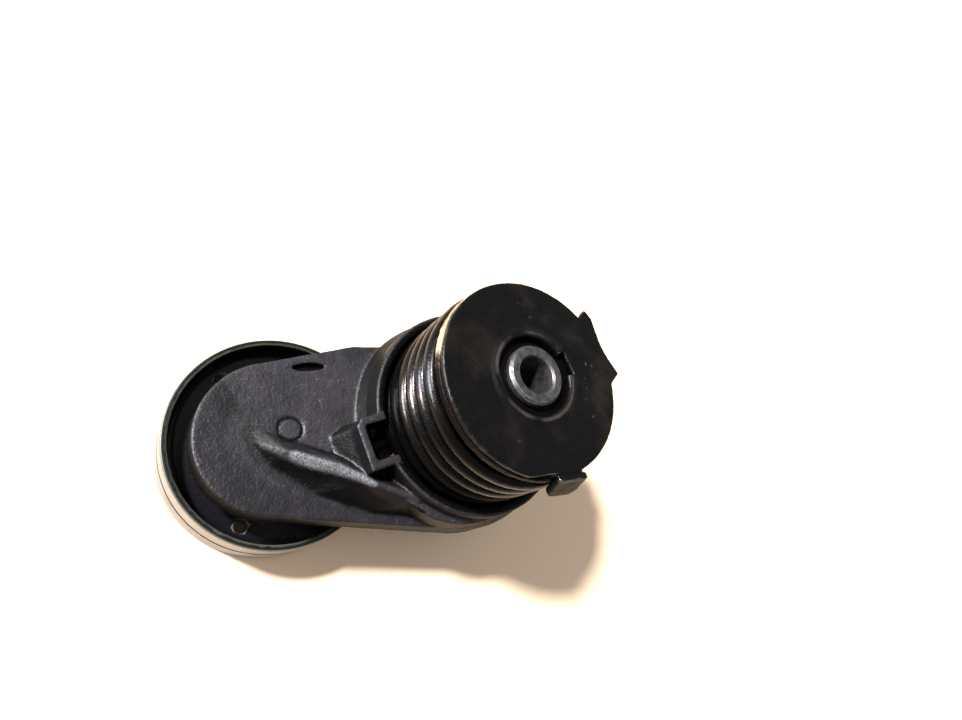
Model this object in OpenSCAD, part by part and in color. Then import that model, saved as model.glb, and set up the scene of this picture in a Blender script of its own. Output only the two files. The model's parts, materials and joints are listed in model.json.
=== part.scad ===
// Belt tensioner idler: a sprung arm that carries a flat idler pulley.
// The frame's origin is on the pivot axis at the mounting face, +Z points out of
// that face, and the pulley is on the -X side of the pivot.

/* [Overall] */
// Distance from the pivot axis to the near side of the pulley's rim
hub_room = 22.5; // [21.5:0.5:32]
// Height of the mounting face above the pulley's rear lip
mount_height = 59; // [59:0.5:71]

/* [Pulley] */
// Outside diameter of the belt rim
pulley_d = 65; // [60:0.5:80]
// Width of the belt rim
pulley_w = 18; // [16.5:0.5:22]
// Sheet thickness of the two stamped halves
pulley_wall = 1.8; // [1.4:0.1:2.2]
// Diameter of the through holes in the web
web_hole_d = 4.2; // [3:0.1:5]
// Distance from the rim's outside to the hole centres
web_hole_inset = 6.5; // [5:0.1:7]
// Number of through holes in the web
web_hole_count = 3; // [3:1:6]
// Bevel where the two halves meet on the rim
split_bevel = 0.5; // [0.2:0.1:0.8]

/* [Bearing] */
// Outside diameter of the ball bearing
bearing_od = 40; // [38:0.5:42]
// Bore of the ball bearing
bearing_bore = 17; // [15:0.5:18]
// Width of the ball bearing
bearing_w = 12; // [11:0.5:12]
// Diameter of one ball
ball_d = 6.75; // [6:0.05:7]
// Number of balls
ball_count = 8; // [6:1:9]

/* [Pivot] */
// Bore of the pivot tube
bolt_bore_d = 11; // [9:0.1:13]
// Outside diameter of the pivot tube
tube_od = 17.6; // [16:0.1:21.2]
// Thickness of the plain bushes
bush_wall = 2.2; // [1.5:0.1:3]
// Length of each plain bush
bush_length = 18; // [10:1:20]
// Wall of the arm's sleeve round the bushes
sleeve_wall = 3.2; // [2.5:0.1:4]
// Thickness of the tube's flange
flange_t = 3; // [2:0.1:3.6]

/* [Spring] */
// Wire diameter of the torsion spring
spring_wire = 5; // [4.2:0.1:5.4]
// Outside diameter of the torsion spring
spring_od = 59.4; // [55:0.1:72]
// Whole turns between the two legs
spring_turns = 6; // [5:1:6]
// Direction of the upper leg
upper_leg_angle = 15; // [5:1:20]
// Direction of the lower leg
lower_leg_angle = 193; // [190:1:196]

/* [Arm] */
// Thickness of the arm plate
arm_thickness = 10; // [8:0.5:11]
// Radius of the arm's rounded end
arm_end_r = 22.4; // [20:0.1:25]
// Height of the cup's rim above the arm plate
cup_height = 12.5; // [10:0.5:15]
// Wall of the spring cup
cup_wall = 2.8; // [2.2:0.1:3.4]
// Height of the curved rib above the arm plate, at the cup
rib_height = 9; // [7:0.5:9.5]
// Inner depth of the pocket for the spring's leg, outwards from the cup's wall
pocket_depth = 6.6; // [6:0.1:8]
// Width of the pocket for the spring's leg
pocket_width = 10.5; // [9:0.5:12]

/* [Base plate] */
// Diameter of the base plate
plate_d = 57.2; // [54:0.1:69]
// Sheet thickness of the base plate
plate_t = 2; // [1.6:0.1:2.4]
// Bore of the base plate round the tube
plate_bore_d = 23.2; // [22:0.1:25]
// How far the tube stands above the plate's top
tube_proud = 1.2; // [0.8:0.1:2]
// Length of the bent-down outer tab
tab_drop = 9; // [6:0.5:12]

/* [Motion and clearances] */
// Free swing of the arm away from its stop
swing_range = 45; // [30:1:55]
// Radial running clearance of bushes and washers
run_gap = 0.05; // [0.03:0.01:0.08]
// Gap between pieces that move past each other
clear_gap = 0.3; // [0.2:0.05:0.5]
// Gap between the stop tab and the stop lugs
stop_gap = 0.25; // [0.15:0.05:0.5]

/* [Hidden] */
$fn = 96;
eps = 0.02;

// Distance between the two axes
arm_length = hub_room + pulley_d / 2;

// Heights of the main planes
lip_z = -mount_height;
front_z = lip_z - pulley_w;
split_z = lip_z - pulley_w / 2;
arm_under_z = lip_z + 2;
deck_z = arm_under_z + arm_thickness;
cup_rim_z = deck_z + cup_height;
plate_top_z = -tube_proud;
plate_under_z = plate_top_z - plate_t;
flange_top_z = plate_under_z;
flange_under_z = flange_top_z - flange_t;

// Radii round the pivot
tube_r = tube_od / 2;
bush_out_r = tube_r + run_gap + bush_wall;
sleeve_r = bush_out_r + sleeve_wall;
flange_r = plate_bore_d / 2 + 2.6;
plate_r = plate_d / 2;
spring_out_r = spring_od / 2;
spring_mid_r = spring_out_r - spring_wire / 2;
cup_in_r = spring_out_r + 0.8;
cup_out_r = cup_in_r + cup_wall;
cup_base_r = cup_out_r + 2;
cup_foot_h = 4.5;

// Washers and the spring's seats
washer_t = 1.5;
thrust_under_z = flange_under_z - washer_t;
sleeve_top_z = thrust_under_z - 0.2;
retainer_t = 2.5;
retainer_r = sleeve_r + 1.8;
hub_front_r = retainer_r + 2.5;
hub_top_r = hub_room - 1.5;
friction_t = 1.8;
hub_front_z = front_z + retainer_t + friction_t + 0.1;
ring_t = 2.4;
ring_under_z = plate_under_z - ring_t;
cup_floor_z = deck_z - 2.5;
seat_t = 2;
seat_top_z = cup_floor_z + seat_t;
coil_top_z = ring_under_z - spring_wire / 2;
coil_low_z = seat_top_z + clear_gap + spring_wire / 2;

// Bearing place: behind the bolt head and its shield
head_h = 3.7;
shield_t = 0.9;
bearing_front_z = front_z + head_h + shield_t + 0.2;
bearing_rear_z = bearing_front_z + bearing_w;
bearing_mid_z = bearing_front_z + bearing_w / 2;
bearing_r = bearing_od / 2;
bore_r = bearing_bore / 2;
ball_r = ball_d / 2;
ball_ring_r = (bearing_r + bore_r) / 2;
groove_gap = 0.04;
outer_shoulder_r = ball_ring_r + 2.4;
inner_shoulder_r = ball_ring_r - 2.4;
seal_t = 1;
seal_out_r = outer_shoulder_r + 1;
collar_r = bearing_r + pulley_wall;
pulley_r = pulley_d / 2;
bolt_r = 4;
bolt_depth_z = deck_z - 2.5;

// Stop tab of the plate and stop lugs of the sleeve, as angles
tab_from = 6;
tab_to = 26;
tab_in_r = max(flange_r + clear_gap, sleeve_r + stop_gap);
tab_out_r = tab_in_r + plate_t;
lug_angle = 14;
stop_angle = stop_gap / tab_in_r * 180 / PI;
stop_tab_z = sleeve_top_z - 4;
lug_drop = 9;

// A ring between two heights
module ring(out_r, in_r, low_z, high_z) {
    difference() {
        translate([0, 0, low_z]) cylinder(r = out_r, h = high_z - low_z);
        translate([0, 0, low_z - 1]) cylinder(r = in_r, h = high_z - low_z + 2);
    }
}

// Points of an arc, in degrees
function arc(r, from, to, steps) = [for (i = [0 : steps])
    let (a = from + (to - from) * i / steps) [r * cos(a), r * sin(a)]];

// A sector of a ring between two angles
module ring_sector(out_r, in_r, low_z, high_z, from, to) {
    steps = 8;
    translate([0, 0, low_z]) linear_extrude(height = high_z - low_z)
        polygon(concat(arc(out_r, from, to, steps), arc(in_r, to, from, steps)));
}

// Places children on the pulley's axis
module at_pulley() {
    translate([-arm_length, 0, 0]) children();
}

// ---- Pieces fixed to the engine

// Flat at the plate's edge where the outer tab is bent down
plate_flat_y = -plate_r + 1.2;
lug_reach = 4;
point_reach = 3.8;

module plate_outline() {
    difference() {
        union() {
            circle(r = plate_r);
            // broad lug
            polygon(concat([[0, 0]], arc(plate_r + lug_reach, 41, 35, 2),
                [[plate_r * cos(20) + 1, plate_r * sin(20)], [plate_r + 1.2, 5]]));
            // pointed lug
            polygon([[0, 0], [plate_r + 1.2, 5.5], [plate_r + point_reach, 0.6], [plate_r, -2.4]]);
        }
        translate([-plate_r, plate_flat_y - plate_r]) square([plate_d, plate_r]);
        // keyhole notch next to the tube
        polygon([[0, 0], [tab_in_r * cos(tab_from - 6), tab_in_r * sin(tab_from - 6)],
            [tab_in_r * cos(tab_to + 7), tab_in_r * sin(tab_to + 7)]]);
    }
}

module base_plate() color([0.16, 0.15, 0.14]) {
    swage_r = plate_bore_d / 2 + 1;
    difference() {
        union() {
            translate([0, 0, plate_under_z]) linear_extrude(height = plate_t) plate_outline();
            // raised ring round the bore
            difference() {
                rotate_extrude() polygon([[swage_r - 1, plate_top_z - eps], [swage_r - 0.6, plate_top_z + 0.6],
                    [swage_r + 0.6, plate_top_z + 0.6], [swage_r + 2.2, plate_top_z - eps]]);
                ring_sector(swage_r + 3, 0, plate_top_z - 1, plate_top_z + 1, tab_from - 6, tab_to + 7);
            }
            // inner stop tab, bent down from the notch
            ring_sector(tab_out_r, tab_in_r, stop_tab_z, plate_under_z + eps, tab_from, tab_to);
            outer_tab();
        }
        translate([0, 0, plate_under_z - 1]) cylinder(d = plate_bore_d, h = plate_t + 3);
    }
}

// Outer tab: bent down past the flat and flared outwards, with round lower corners
module outer_tab() {
    tab_w = 10;
    corner_r = 3;
    flare = 20;
    translate([6, plate_flat_y + eps, plate_under_z + plate_t / 2]) rotate([-flare, 0, 0])
        rotate([90, 0, 0]) linear_extrude(height = plate_t) union() {
            translate([-tab_w / 2, -tab_drop + corner_r]) square([tab_w, tab_drop - corner_r]);
            translate([-tab_w / 2 + corner_r, -tab_drop]) square([tab_w - 2 * corner_r, tab_drop]);
            for (side = [-1, 1])
                translate([side * (tab_w / 2 - corner_r), -tab_drop + corner_r]) circle(r = corner_r);
        }
}

module pivot_tube() color([0.5, 0.5, 0.5]) {
    bevel = 0.7;
    rotate_extrude() polygon([
        [bolt_bore_d / 2, front_z], [tube_r, front_z], [tube_r, flange_under_z],
        [flange_r, flange_under_z], [flange_r, flange_top_z], [tube_r, flange_top_z],
        [tube_r, -bevel], [tube_r - bevel, 0], [bolt_bore_d / 2, 0]]);
}

module upper_spring_ring() color([0.82, 0.76, 0.55]) {
    ring_w = 6;
    difference() {
        ring(plate_r + 0.3, plate_r + 0.3 - ring_w, ring_under_z, plate_under_z);
        // room for the outer tab
        translate([6 - 6.5, plate_flat_y - 8, ring_under_z - 1]) cube([13, 8, ring_t + 2]);
    }
}

module thrust_washer() color([0.3, 0.28, 0.25])
    ring(flange_r - 0.2, tube_r + run_gap, thrust_under_z, flange_under_z);

module friction_washer() color([0.25, 0.23, 0.2])
    ring(retainer_r, tube_r + run_gap, front_z + retainer_t, front_z + retainer_t + friction_t);

module front_retainer() color([0.45, 0.45, 0.46])
    ring(retainer_r, tube_r, front_z, front_z + retainer_t);

module hub_seal() color([0.08, 0.08, 0.08])
    translate([0, 0, hub_front_z + 1.4]) rotate_extrude()
        translate([tube_r + 1.25 + run_gap, 0]) circle(r = 1.2, $fn = 32);

// The coil's wire: a radial leg, a bend, the turns, a bend and the other leg
leg_tip_r = spring_mid_r + 7.6;
bend_angle = 9;
coil_from = upper_leg_angle + bend_angle;
coil_sweep = spring_turns * 360 + lower_leg_angle - upper_leg_angle - 2 * bend_angle;
coil_steps = round(coil_sweep / 15);
wire_sides = 10;

function on_circle(r, a, z) = [r * cos(a), r * sin(a), z];
function bend(start, corner, end) = [for (i = [0 : 4]) let (t = i / 4)
    (1 - t) * (1 - t) * start + 2 * t * (1 - t) * corner + t * t * end];
function coil_points() = [for (i = [1 : coil_steps - 1]) on_circle(spring_mid_r,
    coil_from + coil_sweep * i / coil_steps,
    coil_top_z + (coil_low_z - coil_top_z) * i / coil_steps)];
function leg(a, z, turn) = bend(on_circle(spring_mid_r, a + turn, z),
    on_circle(spring_mid_r, a, z), on_circle(spring_mid_r + 4.4, a, z));
function reversed(list) = [for (i = [len(list) - 1 : -1 : 0]) list[i]];
function wire_path() = concat(
    [on_circle(leg_tip_r, upper_leg_angle, coil_top_z)],
    reversed(leg(upper_leg_angle, coil_top_z, bend_angle)),
    coil_points(),
    leg(lower_leg_angle, coil_low_z, -bend_angle),
    [on_circle(leg_tip_r, lower_leg_angle, coil_low_z)]);

// Sweeps a round section of some sides along a path that never runs straight up
module wire(path, r, sides) {
    n = len(path);
    function way(i) = path[min(i + 1, n - 1)] - path[max(i - 1, 0)];
    function side_of(i) = let (c = cross([0, 0, 1], way(i))) c / norm(c);
    function up_of(i) = let (c = cross(way(i), side_of(i))) c / norm(c);
    points = [for (i = [0 : n - 1], k = [0 : sides - 1])
        path[i] + r * (cos(k * 360 / sides) * side_of(i) + sin(k * 360 / sides) * up_of(i))];
    faces = concat([[for (k = [0 : sides - 1]) k]],
        [for (i = [0 : n - 2], k = [0 : sides - 1]) let (m = (k + 1) % sides)
            [i * sides + k, (i + 1) * sides + k, (i + 1) * sides + m, i * sides + m]],
        [[for (k = [sides - 1 : -1 : 0]) (n - 1) * sides + k]]);
    polyhedron(points = points, faces = faces, convexity = 10);
}

module torsion_spring() color([0.22, 0.2, 0.2])
    wire(wire_path(), spring_wire / 2, wire_sides);

// ---- Pieces that swing with the arm

end_shift = [-3.8, -2];
boss_r = inner_shoulder_r - 0.7;
dimple_r = 4;

module arm_outline() {
    end = [-arm_length, 0] + end_shift;
    union() {
        translate(end) circle(r = arm_end_r);
        circle(r = cup_base_r);
        polygon([end + arm_end_r * [cos(97), sin(97)], [-0.6 * arm_length, cup_base_r * 0.74],
            cup_base_r * [cos(132), sin(132)], [0, 0], cup_base_r * [cos(262), sin(262)],
            end + arm_end_r * [cos(261), sin(261)]]);
    }
}

// Stations of the curved rib, from its nose over the pulley's axis to the cup:
// crest, share of the rib's height there, foot on the outer side, foot on the inner side
rib_stations = [
    [[-arm_length - 9.5, -2.5], 0.05, [-arm_length - 11, -2.5], [-arm_length - 8, -0.5]],
    [[-arm_length - 3, -7], 0.4, [-arm_length - 6, -10.5], [-arm_length + 1, -4.5]],
    [[-arm_length + 12, -13], 0.75, [-arm_length + 6, -19], [-arm_length + 13.5, -9.5]],
    [[-cup_out_r - 1.5, -19], 0.93, [-cup_out_r - 1, -25.5], [-cup_out_r, -13]],
    [cup_out_r * [cos(228), sin(228)], 1, cup_base_r * [cos(233), sin(233)], cup_in_r * [cos(222), sin(222)]]];

module rib_station(station) {
    crest_r = 1.3;
    translate([station[0][0], station[0][1], deck_z + rib_height * station[1] - crest_r])
        sphere(r = crest_r, $fn = 12);
    for (foot = [station[2], station[3]])
        translate([foot[0], foot[1], deck_z - 1.5]) cylinder(r = 0.6, h = 1.6, $fn = 8);
}

// The rib, and its shoulder that runs out round the cup
module arm_rib() {
    for (i = [0 : len(rib_stations) - 2]) hull() {
        rib_station(rib_stations[i]);
        rib_station(rib_stations[i + 1]);
    }
    steps = 10;
    translate([0, 0, deck_z - 1]) linear_extrude(height = rib_height)
        polygon(concat([for (i = [0 : steps]) let (a = 224 + 54 * i / steps)
            (cup_base_r + 0.9 - 3 * pow(i / steps, 2)) * [cos(a), sin(a)]], arc(cup_in_r + 1, 278, 224, steps)));
}

// Outline of the leg's pocket: wall is added all round
module pocket_outline(wall, far) {
    turn = lower_leg_angle - 180;
    half = pocket_width / 2;
    rotate(turn) polygon([
        [-cup_in_r + 6, half + wall], [-cup_in_r - 1, half + wall], [-cup_in_r - pocket_depth - wall + 2, half + wall],
        [-cup_in_r - pocket_depth - wall - far, half + wall - 2], [-cup_in_r - pocket_depth - wall - far, -half - wall],
        [-cup_in_r + 6, -half - wall]]);
}

// Everything of the casting outside the spring's room
module arm_casting() {
    translate([0, 0, arm_under_z]) linear_extrude(height = arm_thickness) arm_outline();
    // cup wall with its flared foot
    translate([0, 0, arm_under_z + 1]) cylinder(r = cup_out_r, h = cup_rim_z - arm_under_z - 1);
    translate([0, 0, deck_z]) cylinder(r1 = cup_base_r, r2 = cup_out_r - 0.1, h = cup_foot_h);
    arm_rib();
    // pocket with its flared foot
    translate([0, 0, deck_z - 1]) linear_extrude(height = cup_rim_z - deck_z + 1) pocket_outline(2.6, 0);
    hull() {
        translate([0, 0, deck_z - 2]) linear_extrude(height = 2) pocket_outline(3.4, 3);
        translate([0, 0, deck_z + 7]) linear_extrude(height = 1) pocket_outline(2.5, -0.1);
    }
    // hub in front and the boss that the bearing's inner ring is clamped against
    translate([0, 0, hub_front_z]) cylinder(r1 = hub_front_r, r2 = hub_top_r, h = arm_under_z - hub_front_z + 1);
    at_pulley() translate([0, 0, bearing_rear_z]) cylinder(r = boss_r, h = arm_under_z - bearing_rear_z + 1);
}

module tensioner_arm() color([0.2, 0.19, 0.2]) difference() {
    union() {
        difference() {
            arm_casting();
            translate([0, 0, cup_floor_z]) cylinder(r = cup_in_r, h = cup_rim_z - cup_floor_z + 1);
            translate([0, 0, coil_low_z - spring_wire / 2 - clear_gap]) linear_extrude(height = 60) pocket_room();
        }
        // sleeve round the bushes
        translate([0, 0, cup_floor_z - 3]) cylinder(r = sleeve_r, h = sleeve_top_z - cup_floor_z + 3);
        stop_lugs();
    }
    // bore for the bushes and the seal
    translate([0, 0, hub_front_z - 1]) cylinder(r = bush_out_r, h = sleeve_top_z - hub_front_z + 2);
    translate([0, 0, hub_front_z - 1]) cylinder(r = tube_r + 2.8, h = 3.9);
    // hole for the pulley bolt
    at_pulley() translate([0, 0, bearing_rear_z - 1]) cylinder(r = bolt_r, h = bolt_depth_z - bearing_rear_z + 1);
    dimple();
    edge_slot();
    lightening_pockets();
}

module pocket_room() {
    turn = lower_leg_angle - 180;
    rotate(turn) translate([-cup_in_r - pocket_depth, -pocket_width / 2])
        square([pocket_depth + 4, pocket_width]);
}

// Two lugs on the sleeve that meet the base plate's inner tab
module stop_lugs() {
    low = sleeve_top_z - lug_drop;
    ring_sector(tab_out_r, sleeve_r - 1, low, sleeve_top_z, tab_to + stop_angle, tab_to + stop_angle + lug_angle);
    ring_sector(tab_out_r, sleeve_r - 1, low, sleeve_top_z,
        tab_from - swing_range - 2 * stop_angle - lug_angle, tab_from - swing_range - 2 * stop_angle);
}

// Round ejector mark on the deck over the pulley's axis
module dimple() at_pulley() difference() {
    translate([0, 0, deck_z - 0.8]) cylinder(r = dimple_r, h = 2);
    translate([0, 0, deck_z - 1]) cylinder(r = dimple_r - 0.9, h = 1.1);
}

// Lens-shaped slot near the upper edge
module edge_slot() {
    lens_r = 13;
    lens_gap = 11.7;
    translate([-arm_length + 7, arm_end_r - 3.4, deck_z - 3]) rotate([0, 0, 3]) linear_extrude(height = 4)
        intersection() {
            translate([0, -lens_gap]) circle(r = lens_r);
            translate([0, lens_gap]) circle(r = lens_r);
        }
}

// Two hollows in the underside between the pulley's boss and the hub
module lightening_pockets() {
    pocket_w = 12;
    pocket_l = 11.5;
    for (low_y = [1.5, -1.5 - pocket_w])
        translate([-hub_top_r - 5 - pocket_l, low_y, arm_under_z - 1])
            cube([pocket_l, pocket_w, arm_thickness / 2 + 1]);
}

module plain_bush(low_z) ring(bush_out_r, tube_r + run_gap, low_z, low_z + bush_length);

module rear_pivot_bush() color([0.55, 0.45, 0.25]) plain_bush(sleeve_top_z - 0.5 - bush_length);

module front_pivot_bush() color([0.55, 0.45, 0.25]) plain_bush(hub_front_z + 3);

module lower_spring_seat() color([0.82, 0.76, 0.55])
    ring(cup_in_r - 0.1, spring_mid_r - spring_wire, cup_floor_z, seat_top_z);

module pulley_bolt() color([0.4, 0.4, 0.42]) at_pulley() {
    head_af = 13;
    translate([0, 0, front_z + 0.2]) cylinder(d = head_af / cos(30), h = head_h - 1.2, $fn = 6);
    translate([0, 0, front_z + head_h - 1]) cylinder(r = 8, h = 1.2);
    translate([0, 0, front_z + head_h - 1]) cylinder(r = bolt_r, h = bolt_depth_z - front_z - head_h - 1);
}

module dust_shield() color([0.5, 0.5, 0.48]) at_pulley()
    ring(bearing_r - 4, bolt_r, bearing_front_z - shield_t, bearing_front_z);

module spacer_sleeve() color([0.5, 0.5, 0.52]) at_pulley()
    ring(bore_r, bolt_r, bearing_front_z, bearing_rear_z);

module ball_groove() {
    translate([0, 0, bearing_mid_z]) rotate_extrude()
        translate([ball_ring_r, 0]) circle(r = ball_r + groove_gap, $fn = 48);
}

module bearing_inner_ring() color([0.6, 0.6, 0.62]) at_pulley() difference() {
    ring(inner_shoulder_r, bore_r, bearing_front_z, bearing_rear_z);
    ball_groove();
}

// ---- Pieces that turn with the cage

module bearing_balls() color([0.75, 0.75, 0.78]) at_pulley()
    for (i = [0 : ball_count - 1]) rotate([0, 0, i * 360 / ball_count])
        translate([ball_ring_r, 0, bearing_mid_z]) sphere(r = ball_r, $fn = 48);

module ball_cage() color([0.7, 0.62, 0.42]) at_pulley() difference() {
    half = ball_r + 0.6;
    ring(outer_shoulder_r - clear_gap, inner_shoulder_r + clear_gap, bearing_mid_z - half, bearing_mid_z + half);
    for (i = [0 : ball_count - 1]) rotate([0, 0, i * 360 / ball_count])
        translate([inner_shoulder_r - 1.5, 0, bearing_mid_z]) rotate([0, 90, 0]) cylinder(r = ball_r + 0.12, h = 8);
}

// ---- Pieces that turn with the pulley

module bearing_outer_ring() color([0.6, 0.6, 0.62]) at_pulley() difference() {
    ring(bearing_r, outer_shoulder_r, bearing_front_z, bearing_rear_z);
    ball_groove();
    ring(seal_out_r, outer_shoulder_r - 1, bearing_front_z - 1, bearing_front_z + seal_t);
    ring(seal_out_r, outer_shoulder_r - 1, bearing_rear_z - seal_t, bearing_rear_z + 1);
}

module bearing_seal(low_z) ring(seal_out_r, inner_shoulder_r + 0.1, low_z, low_z + seal_t - 0.1);

module bearing_seal_rear() color([0.12, 0.12, 0.12]) at_pulley() bearing_seal(bearing_rear_z - seal_t);

module bearing_seal_front() color([0.12, 0.12, 0.12]) at_pulley() bearing_seal(bearing_front_z + 0.1);

// Section of a stamped half, from the split outwards: height is counted away from the split
function half_section(lip_h, collar_h) = let (w = pulley_wall, b = split_bevel) [
    [pulley_r - b, 0], [pulley_r, b], [pulley_r, lip_h - 0.4], [pulley_r - 0.4, lip_h],
    [pulley_r - w + 0.4, lip_h], [pulley_r - w, lip_h - 0.4], [pulley_r - w, w + 1.2],
    [pulley_r - w - 0.4, w + 0.4], [pulley_r - w - 1.2, w], [collar_r + 1, w],
    [collar_r + 0.3, w + 0.3], [collar_r, w + 1], [collar_r, collar_h], [bearing_r, collar_h], [bearing_r, 0]];

module web_holes() {
    for (i = [0 : web_hole_count - 1]) rotate([0, 0, 4 + i * 360 / web_hole_count])
        translate([pulley_r - web_hole_inset, 0, -pulley_w]) cylinder(d = web_hole_d, h = 2 * pulley_w);
}

module pulley_half(side, collar_h) {
    at_pulley() translate([0, 0, split_z]) mirror([0, 0, side > 0 ? 0 : 1]) difference() {
        rotate_extrude() polygon(half_section(pulley_w / 2, collar_h));
        web_holes();
    }
}

module pulley_rear_half() color([0.18, 0.18, 0.2]) pulley_half(1, bearing_rear_z - split_z);

module pulley_front_half() color([0.18, 0.18, 0.2]) {
    pulley_half(-1, split_z - bearing_front_z + eps);
    // rim folded in front of the bearing's outer ring
    at_pulley() ring(collar_r, seal_out_r + 0.6, bearing_front_z - 1.2, bearing_front_z);
}

base_plate();
pivot_tube();
upper_spring_ring();
thrust_washer();
friction_washer();
front_retainer();
hub_seal();
torsion_spring();
tensioner_arm();
rear_pivot_bush();
front_pivot_bush();
lower_spring_seat();
pulley_bolt();
dust_shield();
spacer_sleeve();
bearing_inner_ring();
bearing_balls();
ball_cage();
bearing_outer_ring();
bearing_seal_rear();
bearing_seal_front();
pulley_rear_half();
pulley_front_half();
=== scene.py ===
# Belt tensioner idler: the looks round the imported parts
import json
import math

import bpy
import numpy as np
from mathutils import Matrix, Vector


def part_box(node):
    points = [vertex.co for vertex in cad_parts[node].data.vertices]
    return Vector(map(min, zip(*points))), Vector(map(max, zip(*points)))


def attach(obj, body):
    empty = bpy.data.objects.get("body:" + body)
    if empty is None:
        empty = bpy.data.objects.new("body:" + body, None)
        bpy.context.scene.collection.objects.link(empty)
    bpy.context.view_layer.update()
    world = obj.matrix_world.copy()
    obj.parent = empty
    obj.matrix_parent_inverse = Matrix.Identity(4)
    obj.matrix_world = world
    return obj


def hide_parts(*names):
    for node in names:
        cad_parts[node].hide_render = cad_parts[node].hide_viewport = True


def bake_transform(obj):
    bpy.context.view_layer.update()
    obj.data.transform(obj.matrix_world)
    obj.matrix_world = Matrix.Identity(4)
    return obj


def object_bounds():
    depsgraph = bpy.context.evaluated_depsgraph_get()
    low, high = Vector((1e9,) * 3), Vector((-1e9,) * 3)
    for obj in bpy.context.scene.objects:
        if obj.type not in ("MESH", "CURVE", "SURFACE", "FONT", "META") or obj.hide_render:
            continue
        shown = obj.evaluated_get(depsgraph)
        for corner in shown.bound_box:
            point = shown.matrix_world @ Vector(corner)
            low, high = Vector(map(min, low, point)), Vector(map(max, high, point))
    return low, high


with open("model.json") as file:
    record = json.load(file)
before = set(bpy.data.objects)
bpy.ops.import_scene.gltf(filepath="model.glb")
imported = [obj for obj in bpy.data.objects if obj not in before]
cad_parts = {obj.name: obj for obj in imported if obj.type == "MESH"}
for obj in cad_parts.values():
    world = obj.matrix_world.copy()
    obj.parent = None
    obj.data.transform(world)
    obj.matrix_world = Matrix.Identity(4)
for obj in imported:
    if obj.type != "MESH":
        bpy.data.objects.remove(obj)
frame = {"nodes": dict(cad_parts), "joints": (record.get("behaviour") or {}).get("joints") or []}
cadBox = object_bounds()
mm = 0.001  # settings are in millimetres, Blender works in metres
pivotAxis = Vector((0, 0, 0))
pulleyAxis = Vector(next(j["pos_m"] for j in frame["joints"] if j["name"] == "pulley_spin"))
print("loaded", len(frame["nodes"]), "nodes")


# camera, light and floor
studio = {
    "eye": (-105.1, -45.2, 127.5),
    "right": (0.84236, -0.18009, 0.50793),
    "up": (-0.01232, 0.93583, 0.35223),
    "back": (-0.53877, -0.30296, 0.78609),
    "lens": 23.2,
    "sensor": 36,
    "clip": (0.005, 20),
    "floorSize": 6,
    "floorDrop": 0.3,
    "floorColour": (0.93, 0.7, 0.5),
    "floorRough": 0.45,
    "roomLight": 0.5,
    "keyPlace": (-840, 594, 1200),
    "keySpread": 6.5,
    "keyPower": 8,
    "sidePlace": (-620, 190, 190),
    "sideAim": (0, 0, -30),
    "sideSize": 340,
    "sidePower": 26,
}


def makeCamera():
    bpy.ops.object.select_all(action="DESELECT")
    bpy.ops.object.camera_add(location=Vector(studio["eye"]) * mm)
    eye = bpy.context.object
    turn = Matrix((studio["right"], studio["up"], studio["back"])).transposed()
    eye.rotation_euler = turn.to_euler()
    eye.data.sensor_width = studio["sensor"]
    eye.data.lens = studio["lens"]
    eye.data.clip_start, eye.data.clip_end = studio["clip"]
    bpy.context.scene.camera = eye
    bpy.context.scene.view_settings.view_transform = "Standard"


def makeFloor():
    floorZ = cadBox[0].z - studio["floorDrop"] * mm
    bpy.ops.object.select_all(action="DESELECT")
    bpy.ops.mesh.primitive_plane_add(size=studio["floorSize"], location=(0, 0, floorZ))
    floor = bpy.context.object
    floor.name = "floor"
    skin = bpy.data.materials.new("paleFloor")
    skin.use_nodes = True
    shader = skin.node_tree.nodes["Principled BSDF"]
    shader.inputs["Base Color"].default_value = (*studio["floorColour"], 1)
    shader.inputs["Roughness"].default_value = studio["floorRough"]
    floor.data.materials.append(skin)


def lampAt(kind, name, place, aim, power):
    bpy.ops.object.select_all(action="DESELECT")
    bpy.ops.object.light_add(type=kind, location=Vector(place) * mm)
    lamp = bpy.context.object
    lamp.name = name
    lamp.data.energy = power
    lamp.rotation_euler = (lamp.location - Vector(aim) * mm).to_track_quat("Z", "Y").to_euler()
    return lamp


def makeLights():
    world = bpy.data.worlds.new("paleRoom")
    bpy.context.scene.world = world
    world.use_nodes = True
    sky = world.node_tree.nodes["Background"]
    sky.inputs["Color"].default_value = (1, 1, 1, 1)
    sky.inputs["Strength"].default_value = studio["roomLight"]
    key = lampAt("SUN", "keyLamp", studio["keyPlace"], (0, 0, 0), studio["keyPower"])
    key.data.angle = math.radians(studio["keySpread"])
    side = lampAt("AREA", "sideLamp", studio["sidePlace"], studio["sideAim"], studio["sidePower"])
    side.data.shape = "DISK"
    side.data.size = studio["sideSize"] * mm
    side.visible_diffuse = False  # it only gives the steel its highlights


makeCamera()
makeFloor()
makeLights()
print("studio ready")


# 0 to 255 as a screen shows it, turned into the linear colour that a shader takes
def paint(red, green, blue):
    linear = [c / 255 / 12.92 if c < 11 else ((c / 255 + 0.055) / 1.055) ** 2.4 for c in (red, green, blue)]
    return (*linear, 1)


# steps that the finishes share
def nodeIn(tree, kind, feeds=None, **fields):
    node = tree.nodes.new("ShaderNode" + kind)
    for key, value in fields.items():
        setattr(node, key, value)
    for key, value in (feeds or {}).items():
        if isinstance(value, bpy.types.NodeSocket):
            tree.links.new(value, node.inputs[key])
        else:
            node.inputs[key].default_value = value
    return node


def noiseIn(tree, spot, scale, detail=4, rough=0.55):
    feeds = {"Vector": spot, "Scale": scale, "Detail": detail, "Roughness": rough}
    return nodeIn(tree, "TexNoise", feeds).outputs["Fac"]


def rangeIn(tree, value, low, high, outLow=0.0, outHigh=1.0):
    feeds = {"Value": value, "From Min": low, "From Max": high, "To Min": outLow, "To Max": outHigh}
    return nodeIn(tree, "MapRange", feeds, interpolation_type="SMOOTHSTEP").outputs["Result"]


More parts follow.
